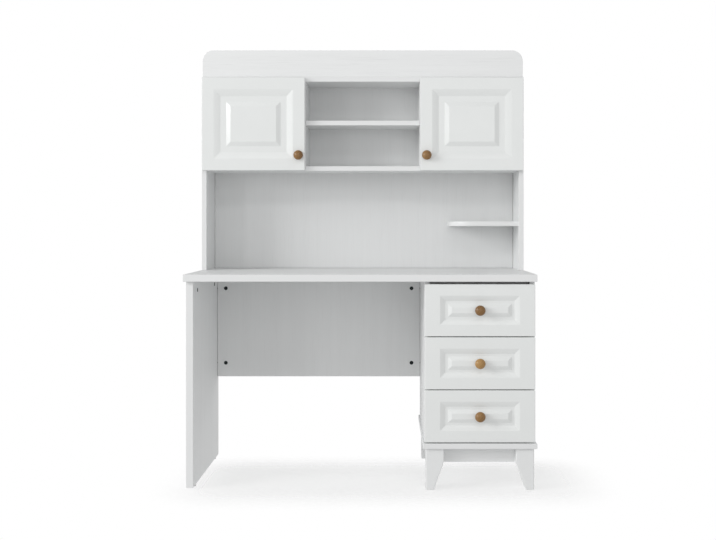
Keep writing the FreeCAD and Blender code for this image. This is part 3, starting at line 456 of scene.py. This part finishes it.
def meshed(name, build, crease=None):
    """An object for a bmesh, merged and facing outwards, and smooth where a crease angle is given."""
    for face in build.faces:
        face.smooth = crease is not None
    bmesh.ops.remove_doubles(build, verts=build.verts, dist=MERGE)
    bmesh.ops.recalc_face_normals(build, faces=build.faces)
    mesh = bpy.data.meshes.new(name)
    build.to_mesh(mesh)
    build.free()
    if crease is not None:
        mesh.set_sharp_from_angle(angle=crease)
    return linked(name, mesh)


def skinned(name, rings, crease):
    """An object with a smooth closed skin over rings of points. A ring of one point is a pole."""
    build = bmesh.new()
    rings = [[build.verts.new(point) for point in points] for points in rings]
    for near, far in zip(rings, rings[1:]):
        count = max(len(near), len(far))
        for i in range(count):
            j = (i + 1) % count
            corners = (near[i % len(near)], near[j % len(near)], far[j % len(far)], far[i % len(far)])
            build.faces.new(tuple(dict.fromkeys(corners)))
    for end in (rings[0], rings[-1]):
        if len(end) > 1:
            build.faces.new(end)
    return meshed(name, build, crease)


def plain_mesh(piece):
    """Turns an object's modifiers into its own plain mesh."""
    piece.update_tag()
    mesh = bpy.data.meshes.new_from_object(piece.evaluated_get(bpy.context.evaluated_depsgraph_get()))
    piece.modifiers.clear()
    old, piece.data = piece.data, mesh
    mesh.name = piece.name
    bpy.data.meshes.remove(old)


def arc(centre, radius, start, end, steps):
    """Points of an arc in a section, angles in degrees."""
    angles = [math.radians(start + (end - start) * i / steps) for i in range(steps + 1)]
    return [(centre[0] + radius * math.cos(a), centre[1] + radius * math.sin(a)) for a in angles]


def ovolo(width, depth, share):
    """Arc of a slope that falls by a depth over a width, and makes a share of its turn at once where it
    starts: (along, down) points."""
    start = share * 2 * math.atan2(depth, width)
    end = 2 * math.atan2(depth, width) - start
    radius = width / (math.sin(end) - math.sin(start))
    angles = [start + (end - start) * i / SLOPE_STEPS for i in range(SLOPE_STEPS + 1)]
    return [(radius * (math.sin(a) - math.sin(start)), radius * (math.cos(start) - math.cos(a)))
            for a in angles]


def eased(points, corner, radius):
    """A section with one of its corners rounded, as far as its neighbours leave room."""
    before, at, after = (Vector(points[corner + i]) for i in (-1, 0, 1))
    first, second = (before - at).normalized(), (after - at).normalized()
    half = first.angle(second) / 2
    reach = min(radius / math.tan(half), EASE_BEFORE * (before - at).length,
                EASE_AFTER * (after - at).length)
    start, end = at + first * reach, at + second * reach
    shares = [i / EASE_STEPS for i in range(EASE_STEPS + 1)]
    middle = [start.lerp(at, t).lerp(at.lerp(end, t), t) for t in shares]
    return points[:corner] + [tuple(p) for p in middle] + points[corner + 1:]


def routed_section(thick, stile, outer, flat, inner):
    """Section of a front from its back edge to its field, as (inset, depth behind the face) points, and the
    number of points that follow the front's edge rather than its groove."""
    s = sizes()
    edge = [(s.arris, thick), (0.0, thick - s.arris)]
    edge += arc((s.edge_round, s.edge_round), s.edge_round, 180, 270, EDGE_STEPS)
    edge += [(s.edge_round + s.arris, 0.0)]
    down = [(stile + along, fall) for along, fall in ovolo(outer, s.groove_depth, s.slope_start)]
    foot = stile + outer + flat
    bevel = [(foot, s.groove_depth), (foot + inner, 0.0), (foot + inner + s.bevel_ease, 0.0)]
    groove = [(stile - s.arris, 0.0)] + down + bevel
    last = len(down)
    for corner, ease in ((last + 2, s.bevel_ease), (last + 1, s.groove_ease), (last, s.groove_ease)):
        groove = eased(groove, corner, ease)
    return edge + groove, len(edge)


def ring(low, high, inset_x, inset_z, depth, radius):
    """Points of a front's outline, drawn in from its edges, at a depth behind its face."""
    corners = ((high.x - inset_x, high.z - inset_z, 0), (low.x + inset_x, high.z - inset_z, 90),
               (low.x + inset_x, low.z + inset_z, 180), (high.x - inset_x, low.z + inset_z, 270))
    reach = radius * math.sqrt(2)
    points = []
    for x, z, start in corners:
        turn = math.radians(start + 45)
        centre = (x - reach * math.cos(turn), z - reach * math.sin(turn))
        turned = arc(centre, radius, start, start + 90, CORNER_STEPS)
        points += [(px, low.y + depth, pz) for px, pz in turned]
    return points


def routed_front(node, stile, rail, outer, flat, inner, bores):
    """A front with a raised panel, round the node that it stands for, and bores of (x, z, radius, near y,
    far y)."""
    s = sizes()
    low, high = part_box(node)
    section, edge_count = routed_section(high.y - low.y, stile, outer, flat, inner)
    rings = []
    for i, (inset, depth) in enumerate(section):
        on_edge = i < edge_count
        radius = max(s.corner_round - inset, s.arris) if on_edge else s.arris
        rings.append(ring(low, high, inset, inset if on_edge else inset - stile + rail, depth, radius))
    piece = skinned(node + "_routed", rings, FRONT_CREASE)
    cutters = bmesh.new()
    for x, z, radius, near, far in bores:
        turn = Matrix.Translation((x, (near + far) / 2, z)) @ Matrix.Rotation(math.pi / 2, 4, "X")
        bmesh.ops.create_cone(cutters, cap_ends=True, segments=BORE_SIDES, radius1=radius, radius2=radius,
                              depth=far - near, matrix=turn)
    cutter = meshed(node + "_bores", cutters)
    cut = piece.modifiers.new("bores", "BOOLEAN")
    cut.object, cut.operation, cut.solver = cutter, "DIFFERENCE", "EXACT"
    plain_mesh(piece)
    dropped(cutter)
    piece.data.set_sharp_from_angle(angle=FRONT_CREASE)
    piece.data.materials.clear()
    piece.data.materials.append(finish("foil"))
    return piece


def turned_knob(node, screw):
    """A knob turned round the Y axis, bored for its screw: a foot, a hollow neck and a full round head."""
    s = sizes()
    low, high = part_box(node)
    middle = (low + high) / 2
    radius, tip = (high.x - low.x) / 2, high.y - low.y
    bore = high.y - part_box(screw)[0].y
    brim = radius - s.knob_brim
    hollow = s.knob_brim_height - s.knob_neck_height
    swell = s.knob_widest - s.knob_brim_height
    dome = tip - s.knob_widest
    quarter = [math.radians(90 * i / KNOB_STEPS) for i in range(KNOB_STEPS + 1)]
    section = [(0.0, bore), (s.screw_hole, bore), (s.screw_hole, 0.0), (s.knob_foot - s.arris, 0.0),
               (s.knob_foot, s.arris), (s.knob_foot, s.knob_foot_height - s.arris),
               (s.knob_foot - s.arris, s.knob_foot_height)]
    section += [(brim - (brim - s.knob_neck) * math.cos(a), s.knob_neck_height + hollow * math.sin(a))
                for a in quarter]
    section += [(brim + s.knob_brim * math.sin(a), s.knob_widest - swell * math.cos(a))
                for a in quarter[1:]]
    section += [(radius * math.cos(a), s.knob_widest + dome * math.sin(a)) for a in quarter[1:-1]]
    section += [(0.0, tip)]
    turns = [math.tau * i / KNOB_SIDES for i in range(KNOB_SIDES)]
    rings = []
    for across, out in section:
        circle = [(middle.x + across * math.cos(a), high.y - out, middle.z + across * math.sin(a))
                  for a in turns]
        rings.append(circle if across else circle[:1])
    piece = skinned(node + "_turned", rings, KNOB_CREASE)
    piece.data.materials.append(finish("wood"))
    return piece


def cross_outline(angle, arm, half):
    """Radius of a cross recess at an angle, for arms of a length and half a width."""
    turn = (angle + math.pi / 4) % (math.pi / 2) - math.pi / 4
    corner = math.atan2(half, arm)
    return arm / math.cos(turn) if abs(turn) <= corner else half / math.sin(abs(turn))


def recessed_head(name, profile, recess):
    """Head of radius 1 with a tapering cross recess, its axis along Z."""
    arm, half, depth = recess
    corner = math.degrees(math.atan2(half, arm))
    gap = (45 - corner) / RECESS_STEPS
    fan = [-45 + i * gap for i in range(RECESS_STEPS)] + [-corner, 0, corner]
    fan += [corner + i * gap for i in range(1, RECESS_STEPS)]
    angles = [math.radians(quarter * 90 + a) for quarter in range(4) for a in fan]
    top = profile[-1][1]
    rings = [[(r * math.cos(a), r * math.sin(a), z) for a in angles] for r, z in profile]
    for share, z in ((1.0, top), (RECESS_TAPER, top - depth)):
        radii = [share * cross_outline(a, arm, half) for a in angles]
        rings.append([(r * math.cos(a), r * math.sin(a), z) for r, a in zip(radii, angles)])
    return skinned(name, rings, HEAD_CREASE)


def dropped(source):
    """Removes an object that was only there to cut or to be copied."""
    bpy.data.meshes.remove(source.data)


# Geometry Nodes trees


def new_tree(name, inputs):
    """A node tree with a geometry input, named inputs and a geometry output, and what it is given."""
    tree = bpy.data.node_groups.new(name, "GeometryNodeTree")
    tree.interface.new_socket("Geometry", in_out="INPUT", socket_type="NodeSocketGeometry")
    for label, kind in inputs:
        tree.interface.new_socket(label, in_out="INPUT", socket_type="NodeSocket" + kind)
    tree.interface.new_socket("Geometry", in_out="OUTPUT", socket_type="NodeSocketGeometry")
    return tree, add(tree, "NodeGroupInput").outputs


def close_tree(tree, instances, material):
    """Ends a tree: its instances made real, with their material."""
    real = add(tree, "GeometryNodeRealizeInstances", {0: instances})
    painted = add(tree, "GeometryNodeSetMaterial", {"Geometry": real, "Material": material})
    add(tree, "NodeGroupOutput", {0: painted})
    return tree


def heads_tree():
    """A head on each point, facing as the point's attribute says, each turned by its own fixed amount."""
    tree, given = new_tree("recessed_heads", (
        ("Head", "Object"), ("Radius", "Float"), ("Seed", "Int"), ("Material", "Material")))
    head = add(tree, "GeometryNodeObjectInfo", {"Object": given["Head"]})
    facing = add(tree, "GeometryNodeInputNamedAttribute", {"Name": "facing"}, data_type="FLOAT_VECTOR")
    aimed = add(tree, "FunctionNodeAlignRotationToVector", {"Vector": facing}, axis="Z")
    angle = add(tree, "FunctionNodeRandomValue", {2: 0.0, 3: math.tau, "Seed": given["Seed"]},
                data_type="FLOAT")
    spin = add(tree, "FunctionNodeAxisAngleToRotation", {"Axis": (0, 0, 1), "Angle": angle.outputs[1]})
    turned = add(tree, "FunctionNodeRotateRotation", {0: aimed, 1: spin}, rotation_space="LOCAL")
    heads = add(tree, "GeometryNodeInstanceOnPoints", {
        "Points": given["Geometry"], "Instance": head.outputs["Geometry"], "Rotation": turned,
        "Scale": given["Radius"]})
    return close_tree(tree, heads, given["Material"])


def tacks_tree():
    """Domed tacks at even steps along each line, facing the rear."""
    tree, given = new_tree("tack_rows", (
        ("Spacing", "Float"), ("Head radius", "Float"), ("Head height", "Float"), ("Material", "Material")))
    rows = add(tree, "GeometryNodeMeshToCurve", {"Mesh": given["Geometry"]})
    steps = add(tree, "GeometryNodeCurveToPoints", {"Curve": rows, "Length": given["Spacing"]},
                mode="LENGTH")
    dome = add(tree, "GeometryNodeMeshUVSphere", {
        "Segments": TACK_SIDES, "Rings": TACK_RINGS, "Radius": 1.0})
    smooth = add(tree, "GeometryNodeSetShadeSmooth", {"Geometry": dome, "Shade Smooth": True})
    scale = add(tree, "ShaderNodeCombineXYZ", {
        0: given["Head radius"], 1: given["Head radius"], 2: given["Head height"]})
    tacks = add(tree, "GeometryNodeInstanceOnPoints", {
        "Points": steps, "Instance": smooth, "Rotation": (math.pi / 2, 0.0, 0.0), "Scale": scale})
    return close_tree(tree, tacks, given["Material"])


def grown(name, tree, points, lines, inputs):
    """The plain mesh that a tree makes from (place, facing) points and lines between them."""
    base = bpy.data.meshes.new(name + "_points")
    base.from_pydata([place for place, _ in points], lines, [])
    aim = base.attributes.new("facing", "FLOAT_VECTOR", "POINT")
    for item, (_, facing) in zip(aim.data, points):
        item.vector = facing
    piece = linked(name, base)
    modifier = piece.modifiers.new("grow", "NODES")
    modifier.node_group = tree
    for socket in tree.interface.items_tree:
        if socket.in_out == "INPUT" and socket.name in inputs:
            modifier[socket.identifier] = inputs[socket.name]
    plain_mesh(piece)
    if not piece.data.polygons:
        raise RuntimeError(name + " came out empty")
    return piece


def heads(name, body, slot, head, points, radius, material, seed):
    """Heads on points, riding on a body."""
    tree = bpy.data.node_groups.get("recessed_heads") or heads_tree()
    piece = grown(name, tree, points, [], {
        "Head": head, "Radius": radius, "Seed": seed, "Material": material})
    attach(piece, body)


def hinge_levels(low, high):
    """Heights of a door's two hinges."""
    return low.z + sizes().hinge_inset, high.z - sizes().hinge_inset


def cup_middle(door, low, high):
    """Where, across a door, the middle of its hinge cups is."""
    reach = sizes().cup_edge + sizes().cup_radius
    return low.x + reach if door == "left_door" else high.x - reach


# Operators


class DESK_OT_boards(bpy.types.Operator):
    """Give every board its melamine, with the grain along the board"""

    bl_idname = "desk.boards"
    bl_label = "Dress the boards"

    def execute(self, context):
        dress("board_x", *LONG_BOARDS)
        dress("board_z", *UPRIGHT_BOARDS)
        dress("board_y", *DEEP_BOARDS)
        dress("facing", *FACING_BOARDS)
        dress("backing", *BACKING_BOARDS)
        for drawer in DRAWERS:
            dress("board_y", drawer + "_box")
            dress("backing", drawer + "_bottom")
        return {"FINISHED"}


class DESK_OT_corner_shelf(bpy.types.Operator):
    """Make the corner shelf with its broad round corner"""

    bl_idname = "desk.corner_shelf"
    bl_label = "Make the corner shelf"

    def execute(self, context):
        s = sizes()
        low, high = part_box("corner_shelf")
        left = low.x + s.shelf_trim
        centre = (left + s.shelf_corner, low.y + s.shelf_corner)
        outline = arc(centre, s.shelf_corner, 180, 270, SHELF_STEPS)
        outline += [(high.x, low.y), (high.x, high.y), (left, high.y)]
        build = bmesh.new()
        under = build.faces.new([build.verts.new((x, y, low.z)) for x, y in outline])
        raised = bmesh.ops.extrude_face_region(build, geom=[under])["geom"]
        upper = [part for part in raised if isinstance(part, bmesh.types.BMVert)]
        bmesh.ops.translate(build, vec=(0, 0, high.z - low.z), verts=upper)
        rims = [edge for edge in build.edges if edge.verts[0].co.z == edge.verts[1].co.z]
        bmesh.ops.bevel(build, geom=rims, offset=s.board_round, segments=SHELF_EDGE_STEPS, profile=0.5,
                        affect="EDGES")
        piece = meshed("corner_shelf_board", build, SHELF_CREASE)
        piece.data.materials.append(finish("board_x"))
        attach(piece, "carcass")
        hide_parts("corner_shelf")
        return {"FINISHED"}


class DESK_OT_drawer_fronts(bpy.types.Operator):
    """Make the three drawer fronts with their raised panels"""

    bl_idname = "desk.drawer_fronts"
    bl_label = "Make the drawer fronts"

    def execute(self, context):
        s = sizes()
        for drawer in DRAWERS:
            node = drawer + "_front"
            low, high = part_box(node)
            middle = (low + high) / 2
            hole = (middle.x, middle.z, s.screw_hole, low.y - OVERRUN, high.y + OVERRUN)
            piece = routed_front(node, s.drawer_stile, s.drawer_rail, s.drawer_outer, s.drawer_flat,
                                 s.drawer_inner, [hole])
            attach(piece, drawer)
            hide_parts(node)
        return {"FINISHED"}


class DESK_OT_doors(bpy.types.Operator):
    """Make the two hutch doors with their raised panels and hinge bores"""

    bl_idname = "desk.doors"
    bl_label = "Make the doors"

    def execute(self, context):
        s = sizes()
        for door in DOORS:
            low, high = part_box(door)
            knob_low, knob_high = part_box(door + "_knob")
            knob = (knob_low + knob_high) / 2
            cup_x = cup_middle(door, low, high)
            bores = [(knob.x, knob.z, s.screw_hole, low.y - OVERRUN, high.y + OVERRUN)]
            bores += [(cup_x, z, s.cup_radius, high.y - s.cup_depth, high.y + OVERRUN)
                      for z in hinge_levels(low, high)]
            piece = routed_front(door, s.door_stile, s.door_rail, s.door_outer, s.door_flat, s.door_inner,
                                 bores)
            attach(piece, door)
            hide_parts(door)
        return {"FINISHED"}


class DESK_OT_knobs(bpy.types.Operator):
    """Turn the knobs, with round heads, from stained wood"""

    bl_idname = "desk.knobs"
    bl_label = "Make the knobs"

    def execute(self, context):
        for body in DRAWERS + DOORS:
            node = body + "_knob"
            piece = turned_knob(node, node + "_screw")
            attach(piece, body)
            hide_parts(node)
        return {"FINISHED"}


class DESK_OT_fittings(bpy.types.Operator):
    """Finish the runners, hinges, pins, glides, cams and dowels"""

    bl_idname = "desk.fittings"
    bl_label = "Finish the fittings"

    def execute(self, context):
        dress("zinc", *ZINC_NODES)
        dress("bright", "shelf_pins")
        dress("zinc", *(drawer + "_rails" for drawer in DRAWERS))
        dress("zinc", *(body + "_knob_screw" for body in DRAWERS + DOORS))
        dress("cast", "cam_fittings")
        dress("nylon", "floor_glides", "leg_pads")
        dress("beech", "dowels")
        return {"FINISHED"}


class DESK_OT_cam_heads(bpy.types.Operator):
    """Put a cross-recessed head on each cam"""

    bl_idname = "desk.cam_heads"
    bl_label = "Make the cam heads"

    def execute(self, context):
        s = sizes()
        low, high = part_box("modesty_panel")
        points = [((x, low.y, z), (0, -1, 0)) for x in (low.x + s.cam_edge, high.x - s.cam_edge)
                  for z in (low.z + s.cam_inset, high.z - s.cam_inset)]
        top_low, top_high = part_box("desktop")
        for y in (top_low.y + s.cam_front, top_high.y - s.cam_rear):
            for upright, side, facing in (("left_end_panel", 1, 1), ("pedestal_left_side", 1, 1),
                                          ("pedestal_right_side", 0, -1)):
                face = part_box(upright)[side].x
                points.append(((face, y, top_low.z - s.cam_edge), (facing, 0, 0)))
        head = recessed_head("cam_head", *CAM_HEAD)
        heads("cam_heads", "carcass", "dark_cam", head, points, s.cam_radius, finish("cast"), CAM_SEED)
        dropped(head)
        return {"FINISHED"}


class DESK_OT_screws(bpy.types.Operator):
    """Put pan-head screws on the hinges and on the knobs' screws"""

    bl_idname = "desk.screws"
    bl_label = "Make the screws"

    def execute(self, context):
        s = sizes()
        head = recessed_head("pan_head", *PAN_HEAD)
        zinc = finish("zinc")
        plate_low, plate_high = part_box("hinge_plates")
        plate_y = (plate_low.y + plate_high.y) / 2
        plate_points = []
        for door, plate_x, facing in (("left_door", plate_low.x + s.plate_thick, 1),
                                      ("right_door", plate_high.x - s.plate_thick, -1)):
            low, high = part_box(door)
            cups_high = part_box(door.replace("door", "hinge_cups"))[1]
            cup_x = cup_middle(door, low, high)
            wing_points = []
            for z in hinge_levels(low, high):
                plate_points += [((plate_x, plate_y, z + step), (facing, 0, 0))
                                 for step in (-s.plate_spread, s.plate_spread)]
                wing_points += [((cup_x, cups_high.y, z + step), (0, 1, 0))
                                for step in (-s.wing_spread, s.wing_spread)]
            heads(door + "_cup_screws", door, "zinc_steel", head, wing_points, s.plate_screw, zinc,
                  WING_SEED)
        heads("hinge_plate_screws", "carcass", "zinc_steel", head, plate_points, s.plate_screw, zinc,
              PLATE_SEED)
        for body in DRAWERS + DOORS:
            low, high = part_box(body + "_knob_screw")
            point = (((low.x + high.x) / 2, high.y, (low.z + high.z) / 2), (0, 1, 0))
            heads(body + "_screw_head", body, "zinc_steel", head, [point], s.knob_screw, zinc, KNOB_SEED)
        dropped(head)
        return {"FINISHED"}


class DESK_OT_tacks(bpy.types.Operator):
    """Tack the two backs to the boards in front of them"""

    bl_idname = "desk.tacks"
    bl_label = "Make the tacks"

    def execute(self, context):
        s = sizes()
        tree = tacks_tree()
        for back, boards in (("hutch_back_panel", ("hutch_bottom_board", "left_divider", "right_divider")),
                             ("pedestal_back_panel", ("pedestal_top_rails",))):
            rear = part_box(back)[1].y
            points, lines = [], []
            for board in boards:
                low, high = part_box(board)
                middle = (low + high) / 2
                if board.endswith("divider"):
                    ends = [(middle.x, low.z + s.tack_inset), (middle.x, high.z - s.tack_inset)]
                else:
                    ends = [(low.x + s.tack_inset, middle.z), (high.x - s.tack_inset, middle.z)]
                lines.append((len(points), len(points) + 1))
                points += [((x, rear, z), (0, 1, 0)) for x, z in ends]
            piece = grown(back + "_tacks", tree, points, lines, {
                "Spacing": s.tack_spacing, "Head radius": s.tack_radius, "Head height": s.tack_height,
                "Material": finish("zinc")})
            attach(piece, "carcass")
        return {"FINISHED"}


class DESK_OT_stage(bpy.types.Operator):
    """Set the floor, the soft studio lights and the camera"""

    bl_idname = "desk.stage"
    bl_label = "Set the stage"

    def floor(self, settings):
        """A round floor that fades into the white background away from the desk."""
        build = bmesh.new()
        bmesh.ops.create_circle(build, segments=FLOOR_SIDES, radius=settings.floor_radius, cap_ends=True)
        piece = meshed("studio_floor", build)
        material, tree, place = blank("painted_studio_floor")
        # Rolled paint: a faint stipple, about 3 mm from dot to dot, takes the plastic look off the shade.
        stipple = add(tree, NOISE, {"Vector": place, "Scale": 1 / (3 * MM), "Detail": 2.0})
        bump = add(tree, "ShaderNodeBump", {"Height": stipple, "Strength": 0.3, "Distance": 0.1 * MM})
        paint = add(tree, "ShaderNodeBsdfPrincipled", {
            "Base Color": colours().floor, "Roughness": 0.6, "Normal": bump})
        # The paint ends a little way round the shaded patch, and the white background takes over.
        offset = add(tree, VECTOR_MATH, {0: place, 1: settings.shade_centre}, operation="SUBTRACT")
        beside = add(tree, VECTOR_MATH, {0: offset}, operation="ABSOLUTE")
        outside = add(tree, VECTOR_MATH, {0: beside, 1: settings.shade_half}, operation="SUBTRACT")
        clipped = add(tree, VECTOR_MATH, {0: outside, 1: (0.0, 0.0, 0.0)}, operation="MAXIMUM")
        away = add(tree, VECTOR_MATH, {0: clipped}, operation="LENGTH")
        fade = add(tree, RANGE, {
            "Value": away.outputs["Value"], "From Max": settings.fade_width,
            "To Min": settings.floor_lift}, interpolation_type="SMOOTHSTEP")
        clear = add(tree, "ShaderNodeBsdfTransparent")
        mixed = add(tree, "ShaderNodeMixShader", {0: fade, 1: paint, 2: clear})
        add(tree, "ShaderNodeOutputMaterial", {"Surface": mixed})
        piece.data.materials.append(material)

    def light(self, name, place, size, power):
        """A softbox, aimed at the desk."""
        lamp = bpy.data.lights.new(name, "AREA")
        lamp.shape = "RECTANGLE"
        lamp.size, lamp.size_y = size
        lamp.energy = power
        holder = linked(name, lamp)
        holder.location = place
        aim = Vector(SOFTBOX_AIM) - Vector(place)
        holder.rotation_euler = aim.to_track_quat("-Z", "Y").to_euler()

    def world(self, settings):
        """White to the camera, and to everything else a soft light from above and from the floor below."""
        world = bpy.data.worlds.new("studio_white")
        world.use_nodes = True
        tree = world.node_tree
        tree.nodes.clear()
        seen = add(tree, "ShaderNodeLightPath").outputs["Is Camera Ray"]
        direction = add(tree, "ShaderNodeTexCoord").outputs["Generated"]
        towards = add(tree, "ShaderNodeSeparateXYZ", {0: direction})
        level = add(tree, RANGE, {
            "Value": towards.outputs["Z"], "From Min": -0.2, "From Max": 0.2, "To Min": settings.bounce,
            "To Max": settings.ambient})
        soft = add(tree, "ShaderNodeBackground", {"Color": WHITE, "Strength": level})
        white = add(tree, "ShaderNodeBackground", {"Color": WHITE, "Strength": 1.0})
        mixed = add(tree, "ShaderNodeMixShader", {0: seen, 1: soft, 2: white})
        add(tree, "ShaderNodeOutputWorld", {"Surface": mixed})
        bpy.context.scene.world = world

    def camera(self, settings):
        """A level camera, with the picture shifted as the photograph's is."""
        data = bpy.data.cameras.new("studio_camera")
        data.sensor_width = SENSOR_WIDTH
        data.lens = SENSOR_WIDTH * settings.focal_pixels / PHOTO_WIDTH
        data.shift_x = (PHOTO_WIDTH / 2 - settings.centre_x) / PHOTO_WIDTH
        data.shift_y = (settings.centre_y - PHOTO_HEIGHT / 2) / PHOTO_WIDTH
        holder = linked("studio_camera", data)
        holder.location = settings.camera_place
        holder.rotation_euler = (math.pi / 2, 0.0, 0.0)
        bpy.context.scene.camera = holder

    def execute(self, context):
        settings = context.scene.desk_studio
        self.floor(settings)
        self.world(settings)
        for name, place, size, power in SOFTBOXES:
            self.light(name, place, size, getattr(settings, power))
        self.camera(settings)
        context.scene.view_settings.view_transform = "Standard"
        return {"FINISHED"}


STEPS = (DESK_OT_boards, DESK_OT_corner_shelf, DESK_OT_drawer_fronts, DESK_OT_doors, DESK_OT_knobs,
         DESK_OT_fittings, DESK_OT_cam_heads, DESK_OT_screws, DESK_OT_tacks, DESK_OT_stage)


class DESK_PT_builder(bpy.types.Panel):
    """The desk's steps, in order, and its settings"""

    bl_idname = "DESK_PT_builder"
    bl_label = "Student desk"
    bl_space_type = "VIEW_3D"
    bl_region_type = "UI"
    bl_category = "Desk"

    def draw(self, context):
        for step in STEPS:
            self.layout.operator(step.bl_idname)
        for group in (context.scene.desk_sizes, context.scene.desk_colours, context.scene.desk_studio):
            box = self.layout.box()
            for name in group.bl_rna.properties.keys():
                if name not in ("rna_type", "name"):
                    box.prop(group, name)


CLASSES = (DeskSizes, DeskColours, StudioSettings) + STEPS + (DESK_PT_builder,)


def register():
    for cls in CLASSES:
        bpy.utils.register_class(cls)
    bpy.types.Scene.desk_sizes = PointerProperty(type=DeskSizes)
    bpy.types.Scene.desk_colours = PointerProperty(type=DeskColours)
    bpy.types.Scene.desk_studio = PointerProperty(type=StudioSettings)


def unregister():
    del bpy.types.Scene.desk_studio, bpy.types.Scene.desk_colours, bpy.types.Scene.desk_sizes
    for cls in reversed(CLASSES):
        bpy.utils.unregister_class(cls)


def main():
    register()
    for step in STEPS:
        group, name = step.bl_idname.split(".")
        getattr(getattr(bpy.ops, group), name)()


if __name__ == "__main__":
    main()
